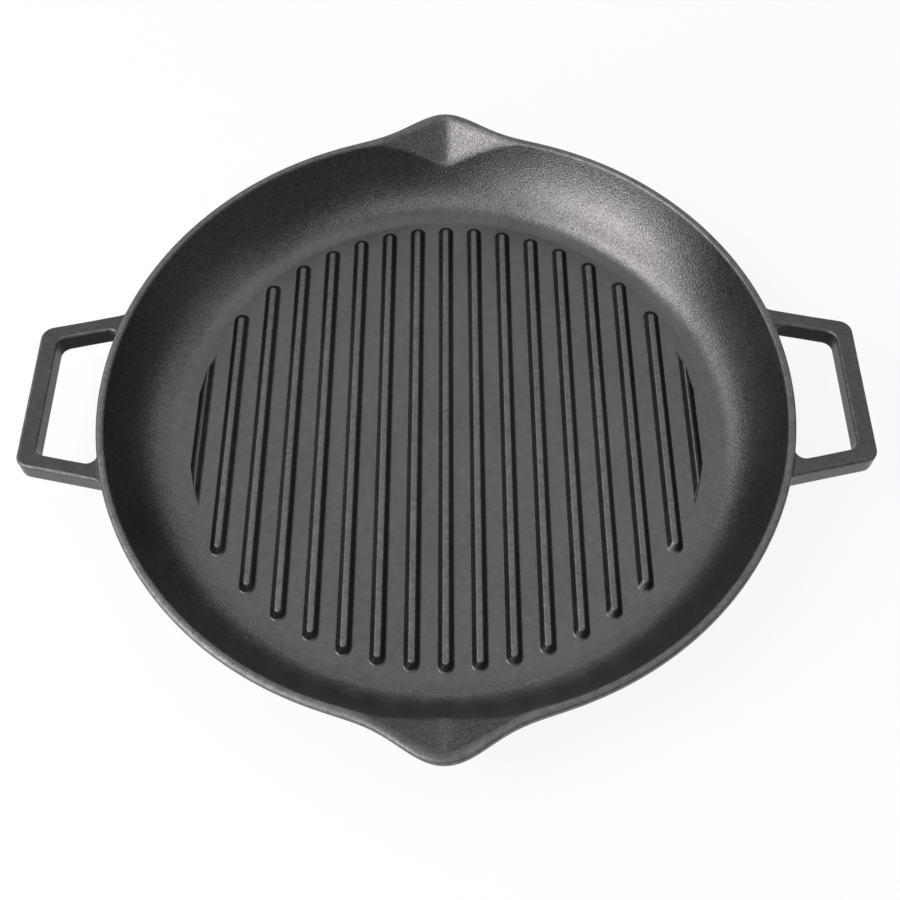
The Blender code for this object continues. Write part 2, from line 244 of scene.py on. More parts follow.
class GriddleStageSettings(bpy.types.PropertyGroup):
    """Camera, floor and lights."""

    floor_size: length("Floor size", "Radius of the studio floor", 3.0)
    floor_glow: number("Floor glow", "Share of plain white in the floor as seen", 0.88)
    fade_start: length("Fade start", "Distance at which the floor begins to fade", 1.6)
    fade_end: length("Fade end", "Distance at which the floor has faded", 3.0)
    far_level: number("Far level", "Brightness of the faded floor", 0.1)
    sky_low: number("Sky low", "Brightness of the sky's dim side", 0.08)
    sky_high: number("Sky high", "Brightness of the sky above and behind the pan", 0.83)
    camera_place: bpy.props.FloatVectorProperty(
        name="Camera place",
        description="Where the camera stands",
        default=(0.00705, -0.28955, 0.48300),
        size=3,
        unit="LENGTH",
    )
    camera_target: bpy.props.FloatVectorProperty(
        name="Camera target",
        description="The point that the camera looks at",
        default=(0.0, 0.0, 0.0045),
        size=3,
        unit="LENGTH",
    )
    camera_roll: angle("Camera roll", "Turn of the camera about its own axis", 1.623)
    focal_length: number("Focal length", "Focal length of the lens in millimetres", 49.2)
    shift_x: number("Shift across", "Sideways shift of the lens", 0.0046)
    shift_y: number("Shift up", "Upward shift of the lens", -0.0257)


def bent(start, corner, end, steps):
    """A soft corner between two straight stretches, as an array with one row for each step.

    Quadratic curve: (1 - s)^2 start + 2 s (1 - s) corner + s^2 end, for s from 0 to 1.
    """
    s = np.linspace(0.0, 1.0, steps).reshape(-1, *([1] * np.ndim(corner)))
    return (1.0 - s) ** 2 * start + 2.0 * s * (1.0 - s) * corner + s**2 * end


def soft_max(first, second, blend):
    """The larger of two values, plus blend / 4 times the square of how nearly they are equal."""
    ease = np.maximum(blend - np.abs(first - second), 0.0) / blend
    return np.maximum(first, second) + ease**2 * blend / 4.0


def soft_min(first, second, blend):
    """The smaller of two values, eased in the same way."""
    return -soft_max(-first, -second, blend)


def ring_faces(rings):
    """Quads between each ring and the next, for vertex numbers with a ring in each row."""
    upper = rings[:-1]
    lower = rings[1:]
    next_upper = np.roll(upper, -1, axis=1)
    next_lower = np.roll(lower, -1, axis=1)
    return np.stack([next_upper, upper, lower, next_lower], axis=-1).reshape(-1, 4)


def make_piece(name, points, faces, masks, material):
    """A smooth mesh object on the root body, with its vertex masks and its material."""
    mesh = bpy.data.meshes.new(name)
    mesh.from_pydata(np.asarray(points, float).reshape(-1, 3).tolist(), [], faces)
    for label, values in masks.items():
        layer = mesh.attributes.new(label, "FLOAT", "POINT")
        layer.data.foreach_set("value", np.asarray(values, np.float32).ravel())
    mesh.shade_smooth()
    mesh.materials.append(material)
    piece = bpy.data.objects.new(name, mesh)
    bpy.context.scene.collection.objects.link(piece)
    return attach(piece, "root")


def column_angles():
    """Angles of the pan's columns: close together at the two spouts, wider along the sides."""
    side = np.radians(SPOUT_START)
    sides = np.linspace(-side, side, SIDE_COLUMNS, endpoint=False)
    spout = np.linspace(side, np.pi - side, SPOUT_COLUMNS, endpoint=False)
    half_turn = np.concatenate([sides, spout])
    return np.concatenate([half_turn, half_turn + np.pi])


def wall_inside(pan, share):
    """Radius and height of the wall's inner face, for shares from 0 at the floor to 1 at the rim.

    Quadratic curve through the floor's edge and the rim's inner edge that leaves the floor level
    and meets the rim at its slope.
    """
    rise = pan.rim_height - pan.floor_height
    head = pan.rim_radius - pan.rim_width
    bend = head - rise / np.tan(pan.rim_slope)
    left = 1.0 - share
    radius = pan.floor_radius * left**2 + 2.0 * bend * share * left + head * share**2
    height = pan.floor_height + rise * share**2
    return radius, height


def wall_outside(pan, share):
    """The inner face moved out along its normal by a thickness that changes evenly up the wall."""
    radius, height = wall_inside(pan, share)
    rise = pan.rim_height - pan.floor_height
    head = pan.rim_radius - pan.rim_width
    bend = head - rise / np.tan(pan.rim_slope)
    run = 2.0 * (bend - pan.floor_radius) * (1.0 - share) + 2.0 * (head - bend) * share
    climb = 2.0 * rise * share
    size = np.hypot(run, climb)
    thickness = pan.floor_height + (pan.wall_thickness - pan.floor_height) * share
    return radius + climb / size * thickness, height - run / size * thickness


def wall_radius_at(pan, height):
    """Radius of the outer face at a height, read off the curve of the outer face."""
    radius, level = wall_outside(pan, np.linspace(0.0, 1.0, 200))
    return np.interp(height, level, np.minimum(radius, pan.rim_radius))


def groove_radius(pan, spout, height, turn):
    """Radius of the spout's groove at a height and an angle from the spout's middle.

    Two planes: distance along the spout plus flank times distance across it is the tip's reach less
    the depth below the rim over the crease's slope. The distance across is rounded at the crease.
    """
    flank = spout.reach / spout.spread * np.exp(-0.5)
    tip = pan.rim_radius + spout.reach - spout.lip
    reach = tip - (pan.rim_height - height) / np.tan(spout.groove_slope)
    sideways = reach * np.sin(turn)
    rounded = np.hypot(sideways, spout.crease) - spout.crease
    share = np.where(np.abs(sideways) > 1e-9, rounded / np.maximum(np.abs(sideways), 1e-9), 0.0)
    radius = reach / (np.cos(turn) + flank * np.abs(np.sin(turn)) * share)
    return np.where(np.abs(turn) > np.arctan(flank), 0.0, radius)


def pan_rings(pan, spout, angles):
    """Radius and height of the whole pan, as rings from the floor's middle to the underside's.

    Along each column the surface is: flat floor, inner face, rounded inner edge, rim, rounded outer
    edge, upright band, outer face and flat underside. At the spouts the inner face is the further
    out of wall and groove, and the outer face is moved out by a bell curve times its share of the
    height. Where the rim is narrower, at a spout's tip, its roundings shrink with it.
    """
    turn = np.mod(angles, np.pi) - np.pi / 2.0
    bulge = spout.reach * np.exp(-0.5 * (pan.rim_radius * np.sin(turn) / spout.spread) ** 2)
    level = np.ones_like(turn)

    def inner(share):
        radius, height = wall_inside(pan, share)
        groove = groove_radius(pan, spout, height, turn)
        return np.stack([soft_max(radius, groove, spout.blend), height * level])

    def outer(radius, height):
        below = pan.rim_height - height
        swell = np.clip((spout.depth - below) / (spout.depth - pan.rim_band), 0.0, 1.0)
        return np.stack([radius + bulge * swell, height * level])

    rings = []
    for share in FLOOR_SHARES:
        rings.append(np.stack([pan.floor_radius * share * level, pan.floor_height * level]))
    edge = pan.rim_rounding
    rise = pan.rim_height - pan.floor_height
    for share in np.linspace(0.0, np.sqrt((rise - edge) / rise), INNER_RINGS):
        rings.append(inner(share))
    inside = inner(1.0)
    outside = outer(pan.rim_radius * level, pan.rim_height)
    across = (outside - inside) / pan.rim_width
    down = np.stack([0.0 * level, -level])
    first_edge = len(rings)
    # A ring just beyond each rounding keeps the rim's top flat between them.
    rings.extend(bent(rings[-1], inside, inside + across * edge, 7)[1:])
    rings.append(inside + across * edge * 1.2)
    outer_edge = pan.rim_outer_rounding
    rings.append(outside - across * outer_edge * 1.1)
    rings.extend(bent(outside - across * outer_edge, outside, outside + down * outer_edge, 9))
    last_edge = len(rings)
    rings.append(outer(pan.rim_radius * level, pan.rim_height - 0.75 * pan.rim_band))
    rings.append(outer(pan.rim_radius * level, pan.rim_height - pan.rim_band))
    for share in np.linspace(OUTER_START, 0.0, OUTER_RINGS):
        radius, height = wall_outside(pan, share)
        rings.append(outer(soft_min(radius, pan.rim_radius, WALL_EASE) * level, height))
    for share in BASE_SHARES:
        rings.append(np.stack([pan.floor_radius * share * level, 0.0 * level]))
    rings = np.array(rings)
    worn = np.zeros(len(rings))
    worn[first_edge - 1 : last_edge] = 1.0
    sand = np.ones(len(rings))
    sand[:first_edge] = np.clip(np.arange(first_edge) / first_edge * SAND_RISE, FLOOR_SAND, 1.0)
    sand[first_edge:last_edge] = RIM_SAND
    return rings[:, 0], rings[:, 1], worn, sand


class GRIDDLE_OT_pan(bpy.types.Operator):
    """Build the pan: floor, wall, rim and both spouts in one seamless skin"""

    bl_idname = "griddle.pan"
    bl_label = "Build Pan"

    def execute(self, context):
        pan = context.scene.griddle_pan
        spout = context.scene.griddle_spout
        angles = column_angles()
        radius, height, worn, sand = pan_rings(pan, spout, angles)
        rings = np.stack([radius * np.cos(angles), radius * np.sin(angles), height], axis=-1)
        rows, columns = radius.shape
        numbers = np.arange(rows * columns).reshape(rows, columns)
        top = rows * columns
        bottom = top + 1
        middles = [[0.0, 0.0, pan.floor_height], [0.0, 0.0, 0.0]]
        points = np.concatenate([rings.reshape(-1, 3), middles])
        first, last = numbers[0], numbers[-1]
        faces = ring_faces(numbers).tolist()
        faces += np.stack([np.full(columns, top), first, np.roll(first, -1)], axis=1).tolist()
        faces += np.stack([np.full(columns, bottom), np.roll(last, -1), last], axis=1).tolist()
        masks = {
            "worn_edge": np.concatenate([np.repeat(worn, columns), [0.0, 0.0]]),
            "sand": np.concatenate([np.repeat(sand, columns), [sand[0], sand[-1]]]),
        }
        piece = make_piece("pan_skin", points, faces, masks, iron_material("seasoned_pan"))
        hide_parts(*PAN_NODES)
        return {"FINISHED"}


def rib_profile(rib):
    """Share of the way from foot to crown outline, and height, up a rib's side.

    A fillet that leaves the floor level, a straight side, and a rounded shoulder that ends level.
    """
    side = (rib.foot_width - rib.crown_width) / 2.0
    low = rib.fillet / side
    shoulder = 0.2
    foot = np.array([0.0, 0.0])
    crown = np.array([1.0, rib.height])
    lower = bent(np.array([-low, 0.0]), foot, crown * low * 1.5, 6)
    upper = bent(crown * (1.0 - shoulder), crown, np.array([1.0 + shoulder, rib.height]), 7)
    buried = np.array([[-low, -rib.depth]])
    flat = np.array([[1.0 + shoulder * 1.5, rib.height]])
    return np.concatenate([buried, lower, upper, flat])


def rib_skin(rib, foot, crown, base):
    """Rings carried up a rib's side between its foot and crown outlines, with a cap at each end.

    Each ring is foot + share times (crown - foot), at the base height plus the profile's height.
    The outlines are mirror images about their first and middle points, so each cap is a ladder of
    quads between the two sides.
    """
    profile = rib_profile(rib)
    count = len(foot)
    plan = foot + profile[:, 0].reshape(-1, 1, 1) * (crown - foot)
    height = np.repeat(base + profile[:, 1], count).reshape(-1, count, 1)
    points = np.concatenate([plan, height], axis=2)
    numbers = np.arange(points.shape[0] * count).reshape(-1, count)
    faces = ring_faces(numbers).tolist()
    half = count // 2
    near = np.arange(1, half - 1)
    far = count - near
    rungs = np.stack([near, near + 1, far - 1, far], axis=1)
    tips = np.array([[0, 1, count - 1], [half - 1, half, half + 1]])
    faces += numbers[-1][rungs[:, ::-1]].tolist() + numbers[-1][tips[:, ::-1]].tolist()
    faces += numbers[0][rungs].tolist() + numbers[0][tips].tolist()
    rise = profile[:, 1] / rib.height
    worn = np.repeat(np.clip((rise - 0.8) / 0.2, 0.0, 1.0), count)
    # Painted shade: darker at the rib's foot and along its sides, none on the crown.
    levels = [RIB_FOOT_SHADE, RIB_SIDE_SHADE, RIB_SIDE_SHADE, 0.0]
    shade_level = np.interp(rise, [0.0, 0.1, 0.75, 0.95], levels)
    painted_shade = np.repeat(shade_level, count)
    return points, faces, worn, painted_shade


def bar_outline(half_width, half_length, round_end, centre):
    """Plan of a bar along Y with rounded ends, from its back tip round by its right side."""
    turn = np.linspace(np.pi / 2.0, 0.0, CORNER_POINTS)
    straight = half_length - round_end
    tip = np.stack([half_width * np.cos(turn), straight + round_end * np.sin(turn)], axis=1)
    along = np.linspace(1.0, -1.0, BAR_SIDE_POINTS) * straight
    side = np.stack([np.full(BAR_SIDE_POINTS, half_width), along], axis=1)
    right = np.concatenate([tip, side[1:-1], tip[::-1] * (1.0, -1.0)])
    left = right[1:-1][::-1] * (-1.0, 1.0)
    return np.concatenate([right, left]) + (centre, 0.0)


def edge_outline(inside, outside, circle):
    """Plan of an edge rib: straight inner and outer sides, with ends cut off by the rib circle.

    It starts at the back tip and goes round by the outer side, so tip and middle are its two tips.
    """
    tip = np.arccos(inside / circle)
    shoulder = np.arccos(outside / circle)
    turn = np.linspace(tip, shoulder, EDGE_ARC_POINTS)
    arc = np.stack([circle * np.cos(turn), circle * np.sin(turn)], axis=1)
    reach = circle * np.sin(shoulder)
    along = np.linspace(reach, -reach, EDGE_SIDE_POINTS)
    side = np.stack([np.full(EDGE_SIDE_POINTS, outside), along], axis=1)
    right = np.concatenate([arc, side[1:-1], arc[::-1] * (1.0, -1.0)])
    left = np.stack([np.full(len(right) - 2, inside), right[1:-1, 1]], axis=1)[::-1]
    return np.concatenate([right, left])


class GRIDDLE_OT_ribs(bpy.types.Operator):
    """Build a skin for each rib, filleted onto the floor"""

    bl_idname = "griddle.ribs"
    bl_label = "Build Ribs"

    def execute(self, context):
        pan = context.scene.griddle_pan
        rib = context.scene.griddle_rib
        material = iron_material("seasoned_ribs")
        for node in RIB_NODES:
            low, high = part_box(node)
            if "edge" in node:
                side = 1.0 if low.x > 0.0 else -1.0
                inside, outside = sorted((abs(low.x), abs(high.x)))
                slope = (rib.foot_width - rib.crown_width) / 2.0
                circle = np.hypot(inside, high.y)
                foot = edge_outline(inside, outside, circle)
                crown = edge_outline(inside + slope, outside - slope, circle - rib.edge_draft)
                if side < 0.0:
                    foot = -foot
                    crown = -crown
            else:
                centre = (low.x + high.x) / 2.0
                foot_half = rib.foot_width / 2.0
                crown_half = rib.crown_width / 2.0
                foot = bar_outline(foot_half, high.y, foot_half, centre)
                crown = bar_outline(crown_half, high.y - rib.end_slope, crown_half, centre)
            points, faces, worn, painted_shade = rib_skin(rib, foot, crown, pan.floor_height)
            masks = {"worn_edge": worn, "sand": np.full(len(worn), RIB_SAND), "painted_shade": painted_shade}
            piece = make_piece(f"{node}_skin", points, faces, masks, material)
            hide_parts(node)
        return {"FINISHED"}


def arm_edge(handle, offset, side, fillet, wall):
    """One edge of the upper arm from inside the pan's wall out to where the arm is straight.

    The edge is a straight line. A circle of the fillet's radius touches both it and the wall, whose
    radius may be an array: its centre lies fillet away from the line, on the given side of it, and
    wall plus fillet away from the pan's axis. The first point lies a little way inside the wall.
    """
    course = np.array([np.cos(handle.splay), -np.sin(handle.splay)])
    normal = np.array([np.sin(handle.splay), np.cos(handle.splay)])
    start = np.array([handle.end, handle.half_length]) - normal * offset
    shifted = start + normal * side * fillet
    along = shifted @ course
    back = np.sqrt((wall + fillet) ** 2 - shifted @ shifted + along**2) - along
    centre = shifted + course * np.expand_dims(back, -1)
    away = centre / np.expand_dims(wall + fillet, -1)
    first = np.arctan2(-away[..., 1], -away[..., 0])
    last = np.arctan2(-normal[1] * side, -normal[0] * side)
    sweep = np.mod(last - first + np.pi, 2.0 * np.pi) - np.pi
    share = np.linspace(0.0, 1.0, CORNER_POINTS)
    turn = first[..., None] + sweep[..., None] * share
    arc = centre[..., None, :] + fillet * np.stack([np.cos(turn), np.sin(turn)], axis=-1)
    buried = away * np.expand_dims(wall - ROOT_OVERLAP, -1)
    return np.concatenate([buried[..., None, :], arc], axis=-2)


def rounded_turn(before, corner, after, radius):
    """Points of the circle of a radius that touches the two straight edges at a corner."""
    inward = (before - corner) / np.linalg.norm(before - corner)
    onward = (after - corner) / np.linalg.norm(after - corner)
    half = np.arccos(np.clip(inward @ onward, -1.0, 1.0)) / 2.0
    middle = (inward + onward) / np.linalg.norm(inward + onward)
    centre = corner + middle * radius / np.sin(half)
    start = corner + inward * radius / np.tan(half) - centre
    end = corner + onward * radius / np.tan(half) - centre
    first = np.arctan2(start[1], start[0])
    sweep = np.mod(np.arctan2(end[1], end[0]) - first + np.pi, 2.0 * np.pi) - np.pi
    turn = first + sweep * np.linspace(0.0, 1.0, CORNER_POINTS)
    return centre + radius * np.stack([np.cos(turn), np.sin(turn)], axis=-1)


def handle_edge(handle, inner, wall):
    """One outline of the handle, from one root round to the other, at each of the wall's radii."""
    course = np.array([np.cos(handle.splay), -np.sin(handle.splay)])
    if inner:
        root = arm_edge(handle, handle.arm_width, -1.0, handle.inner_root, wall)
        across = handle.half_length + handle.bar_width * np.tan(handle.splay)
        across -= handle.arm_width / np.cos(handle.splay)
        corner = np.array([handle.end - handle.bar_width, across])
        radius = handle.inner_corner
    else:
        root = arm_edge(handle, 0.0, 1.0, handle.outer_root, wall)
        corner = np.array([handle.end, handle.half_length])
        radius = handle.outer_corner
    turn = rounded_turn(corner - course, corner, corner - (0.0, 1.0), radius)
    share = np.linspace(0.0, 1.0, STRAIGHT_POINTS)[1:-1].reshape(-1, 1)
    arm = root[..., -1:, :] + share * (turn[0] - root[..., -1:, :])
    bar = turn[-1] + share * (turn[-1] * (1.0, 0.0) - turn[-1])
    turn = np.broadcast_to(turn, (*root.shape[:-2], *turn.shape))
    bar = np.broadcast_to(bar, (*root.shape[:-2], *bar.shape))
    middle = np.broadcast_to(turn[..., -1:, :] * (1.0, 0.0), (*root.shape[:-2], 1, 2))
    upper = np.concatenate([root, arm, turn, bar], axis=-2)
    lower = upper[..., ::-1, :] * (1.0, -1.0)
    return np.concatenate([upper, middle, lower], axis=-2)


def handle_section(handle):
    """Rounded rectangle round the bar: side (0 window, 1 outside), distance in, and height."""
    edge = handle.edge
    top = handle.top
    bottom = handle.top - handle.thickness
    arc = np.linspace(0.0, np.pi / 2.0, 5)
    inset = edge * (1.0 - np.sin(arc))
    drop = edge * (1.0 - np.cos(arc))
    inset = np.concatenate([[edge * 1.4], inset, [0.0]])
    drop = np.concatenate([[0.0], drop, [edge * 1.4]])
    rows = [(0.5, 0.0, top)]
    rows += [(1.0, a, top - b) for a, b in zip(inset, drop)]
    rows += [(1.0, a, bottom + b) for a, b in zip(inset[::-1], drop[::-1])]
    rows += [(0.5, 0.0, bottom)]
    rows += [(0.0, a, bottom + b) for a, b in zip(inset, drop)]
    rows += [(0.0, a, top - b) for a, b in zip(inset[::-1], drop[::-1])]
    return np.array(rows)


def handle_skin(pan, handle):
    """The section carried round the handle from root to root.

    Each point lies between the window outline and the outer outline at its own height. Near the
    wall the top and bottom faces curve up and down by foot times (1 - sqrt(1 - (1 - d / foot)^2)),
    where d is the distance from the wall.
    """
    section = handle_section(handle)
    side, inset, height = section.T
    wall = wall_radius_at(pan, height)
    outer = handle_edge(handle, False, wall)
    inner = handle_edge(handle, True, wall)
    width = np.linalg.norm(outer - inner, axis=-1)
    share = side[:, None] + np.where(side > 0.75, -1.0, 1.0)[:, None] * inset[:, None] / width
    plan = inner + share[..., None] * (outer - inner)
    away = np.linalg.norm(plan, axis=-1) - wall[:, None]
    near = np.clip(1.0 - away / handle.foot, 0.0, 1.0)
    flare = handle.foot * (1.0 - np.sqrt(np.maximum(1.0 - near**2, 0.0)))
    middle = handle.top - handle.thickness / 2.0
    upwards = np.sign(height - middle)[:, None]
    level = height[:, None] + upwards * flare
    points = np.concatenate([plan, level[..., None]], axis=-1)
    rows, columns = level.shape
    numbers = np.arange(rows * columns).reshape(rows, columns).T
    faces = ring_faces(numbers).tolist()
    faces += [numbers[0].tolist(), numbers[-1][::-1].tolist()]
    worn = np.repeat((inset > 0.0) & (inset < handle.edge * 0.999), columns).astype(float)
    # Painted shade: the window's faces are darkened fully, the rest of the handle evenly by a smaller
    # amount.
    painted_shade = np.repeat(np.where((side == 0.0) & (inset == 0.0), 1.0, HANDLE_DARKENING), columns)
    return points.reshape(-1, 3), faces, worn, painted_shade


class GRIDDLE_OT_handles(bpy.types.Operator):
    """Build both handles, filleted onto the wall"""

    bl_idname = "griddle.handles"
    bl_label = "Build Handles"

    def execute(self, context):
        pan = context.scene.griddle_pan
        handle = context.scene.griddle_handle
        material = iron_material("seasoned_handles")
        points, faces, worn, painted_shade = handle_skin(pan, handle)
        for node, turned in (("right_handle", 1.0), ("left_handle", -1.0)):
            placed = points * (turned, turned, 1.0)
            masks = {"worn_edge": worn, "sand": np.full(len(worn), HANDLE_SAND), "painted_shade": painted_shade}
            piece = make_piece(f"{node}_skin", placed, faces, masks, material)
            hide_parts(node)
        return {"FINISHED"}


def new_group(name, inputs, outputs):
    """A shader node group with float, vector or colour sockets, and its input and output nodes."""
    kinds = {"value": "NodeSocketFloat", "vector": "NodeSocketVector", "colour": "NodeSocketColor"}
    group = bpy.data.node_groups.new(name, "ShaderNodeTree")
    for label, kind, default in inputs:
        socket = group.interface.new_socket(label, in_out="INPUT", socket_type=kinds[kind])
        if default is not None:
            socket.default_value = default
    for label, kind in outputs:
        group.interface.new_socket(label, in_out="OUTPUT", socket_type=kinds[kind])
    entry = group.nodes.new("NodeGroupInput")
    leave = group.nodes.new("NodeGroupOutput")
    return group, entry, leave


def maths(tree, operation, first, second=None):
    """A Math node on two values, each a socket or a number, and its result."""
    node = tree.nodes.new("ShaderNodeMath")
    node.operation = operation
    for socket, value in zip(node.inputs, (first, second)):
        if value is None:
            continue
        if isinstance(value, bpy.types.NodeSocket):
            tree.links.new(value, socket)
        else:
            socket.default_value = value
    return node.outputs[0]


def noise(tree, vector, scale, detail, roughness):
    """A Noise node's value. The scale is a socket or a number."""
    node = tree.nodes.new("ShaderNodeTexNoise")
    tree.links.new(vector, node.inputs["Vector"])
    if isinstance(scale, bpy.types.NodeSocket):
        tree.links.new(scale, node.inputs["Scale"])
    else:
        node.inputs["Scale"].default_value = scale
    node.inputs["Detail"].default_value = detail
    node.inputs["Roughness"].default_value = roughness
    return node.outputs[0]


def cast_grain_group():
    """Sand-cast skin: its height, and its painted shade, darker in the pits and lighter on the peaks.
    """
    name = "cast_grain"
    if name in bpy.data.node_groups:
        return bpy.data.node_groups[name]
    inputs = [("Vector", "vector", None), ("Grains", "value", 1150.0), ("Swell", "value", 0.4)]
    group, entry, leave = new_group(name, inputs, [("Height", "value"), ("Painted grain shade", "value")])
    vector = entry.outputs["Vector"]
    fine = noise(group, vector, entry.outputs["Grains"], 2.0, 0.65)
    slow = noise(group, vector, SWELLS, 2.0, 0.5)
    swell = maths(group, "MULTIPLY", slow, entry.outputs["Swell"])
    group.links.new(maths(group, "ADD", fine, swell), leave.inputs["Height"])
    group.links.new(maths(group, "SUBTRACT", fine, 0.5), leave.inputs["Painted grain shade"])
    return group


def seasoning_group():
    """Baked-on oil: slow clouds that change the tone and the roughness a little."""
    name = "seasoning"
    if name in bpy.data.node_groups:
        return bpy.data.node_groups[name]
    outputs = [("Tone", "value"), ("Dryness", "value")]
    group, entry, leave = new_group(name, [("Vector", "vector", None)], outputs)
    vector = entry.outputs["Vector"]
    clouds = noise(group, vector, CLOUDS, 4.0, 0.55)
    flecks = noise(group, vector, FLECKS, 3.0, 0.6)
    faint = maths(group, "MULTIPLY", clouds, CLOUD_TONE)
    both = maths(group, "ADD", faint, maths(group, "MULTIPLY", flecks, FLECK_TONE))
    group.links.new(maths(group, "ADD", both, BASE_TONE), leave.inputs["Tone"])
    slow = maths(group, "MULTIPLY", clouds, CLOUD_DRYNESS)
    dry = maths(group, "ADD", slow, maths(group, "MULTIPLY", flecks, FLECK_DRYNESS))
    group.links.new(dry, leave.inputs["Dryness"])
    return group


def rubbed_edge_group():
    """Rubbed edges: the edge mask, broken up by noise."""
    name = "rubbed_edge"
    if name in bpy.data.node_groups:
        return bpy.data.node_groups[name]
    inputs = [("Vector", "vector", None), ("Edge", "value", 0.0)]
    group, entry, leave = new_group(name, inputs, [("Mask", "value")])
    patches = noise(group, entry.outputs["Vector"], RUBBED_PATCHES, 4.0, 0.6)
    lifted = maths(group, "MULTIPLY", maths(group, "SUBTRACT", patches, RUB_START), RUB_SLOPE)
    lifted.node.use_clamp = True
    group.links.new(maths(group, "MULTIPLY", lifted, entry.outputs["Edge"]), leave.inputs["Mask"])
    return group


def iron_material(name):
    """Seasoned cast iron with sand-cast grain, clouds of baked-on oil and rubbed edges, with painted
    shade on the ribs' feet and sides and in the handles' windows, and painted shade in the grain's
    pits with painted highlight on its peaks.
    """
    if name in bpy.data.materials:
        return bpy.data.materials[name]
    finish = bpy.context.scene.griddle_iron
    material = bpy.data.materials.new(name)
    material.use_nodes = True
    tree = material.node_tree
    shader = tree.nodes["Principled BSDF"]
    place = tree.nodes.new("ShaderNodeTexCoord").outputs["Object"]
    grain = tree.nodes.new("ShaderNodeGroup")
    grain.node_tree = cast_grain_group()
    grain.inputs["Grains"].default_value = finish.grain
    oil = tree.nodes.new("ShaderNodeGroup")
    oil.node_tree = seasoning_group()
    rub = tree.nodes.new("ShaderNodeGroup")
    rub.node_tree = rubbed_edge_group()
    for node in (grain, oil, rub):
        tree.links.new(place, node.inputs["Vector"])
    edge = tree.nodes.new("ShaderNodeAttribute")
    edge.attribute_name = "worn_edge"
    tree.links.new(edge.outputs["Fac"], rub.inputs["Edge"])
    shaded = tree.nodes.new("ShaderNodeMix")
    shaded.data_type = "RGBA"
    shaded.blend_type = "MULTIPLY"
    shaded.inputs["Factor"].default_value = 1.0
    shaded.inputs["A"].default_value = (*finish.iron, 1.0)
    sand = tree.nodes.new("ShaderNodeAttribute")
    sand.attribute_name = "sand"
    # The grain's painted shade, darker in its pits and lighter on its peaks, where the skin is sandy.
    sandy = maths(tree, "MULTIPLY", sand.outputs["Fac"], finish.painted_grain_shade)
    painted_grain_shade = maths(tree, "MULTIPLY", grain.outputs["Painted grain shade"], sandy)
    # Painted shade from the mask: the ribs' feet and sides and the handles' windows, and the rest of
    # the handles evenly.
    painted_shade = tree.nodes.new("ShaderNodeAttribute")
    painted_shade.attribute_name = "painted_shade"
    unshaded = maths(tree, "SUBTRACT", 1.0, maths(tree, "MULTIPLY", painted_shade.outputs["Fac"], finish.shade_level))
    tone = maths(tree, "MULTIPLY", maths(tree, "ADD", oil.outputs["Tone"], painted_grain_shade), unshaded)
    tree.links.new(tone, shaded.inputs["B"])
    rubbed = tree.nodes.new("ShaderNodeMix")
    rubbed.data_type = "RGBA"
    share = maths(tree, "MULTIPLY", rub.outputs["Mask"], RUB_SHARE)
    tree.links.new(share, rubbed.inputs["Factor"])
    tree.links.new(shaded.outputs["Result"], rubbed.inputs["A"])
    rubbed.inputs["B"].default_value = (*finish.worn, 1.0)
    tree.links.new(rubbed.outputs["Result"], shader.inputs["Base Color"])
    dry = maths(tree, "SUBTRACT", oil.outputs["Dryness"], 0.5)
    dry = maths(tree, "MULTIPLY", dry, DRYNESS_SHARE)
    coarse = maths(tree, "MULTIPLY", sand.outputs["Fac"], finish.coarse_roughness)
    rubbing = maths(tree, "MULTIPLY", edge.outputs["Fac"], finish.edge_roughness)
    added = maths(tree, "ADD", rubbing, coarse)
    rough = maths(tree, "ADD", maths(tree, "ADD", dry, finish.roughness), added)
    tree.links.new(rough, shader.inputs["Roughness"])
    shader.inputs["Metallic"].default_value = finish.metallic
    bump = tree.nodes.new("ShaderNodeBump")
    bump.inputs["Strength"].default_value = 1.0
    bump.inputs["Distance"].default_value = finish.grain_height
    relief = maths(tree, "MULTIPLY", grain.outputs["Height"], sand.outputs["Fac"])
    tree.links.new(relief, bump.inputs["Height"])
    tree.links.new(bump.outputs["Normal"], shader.inputs["Normal"])
    return material


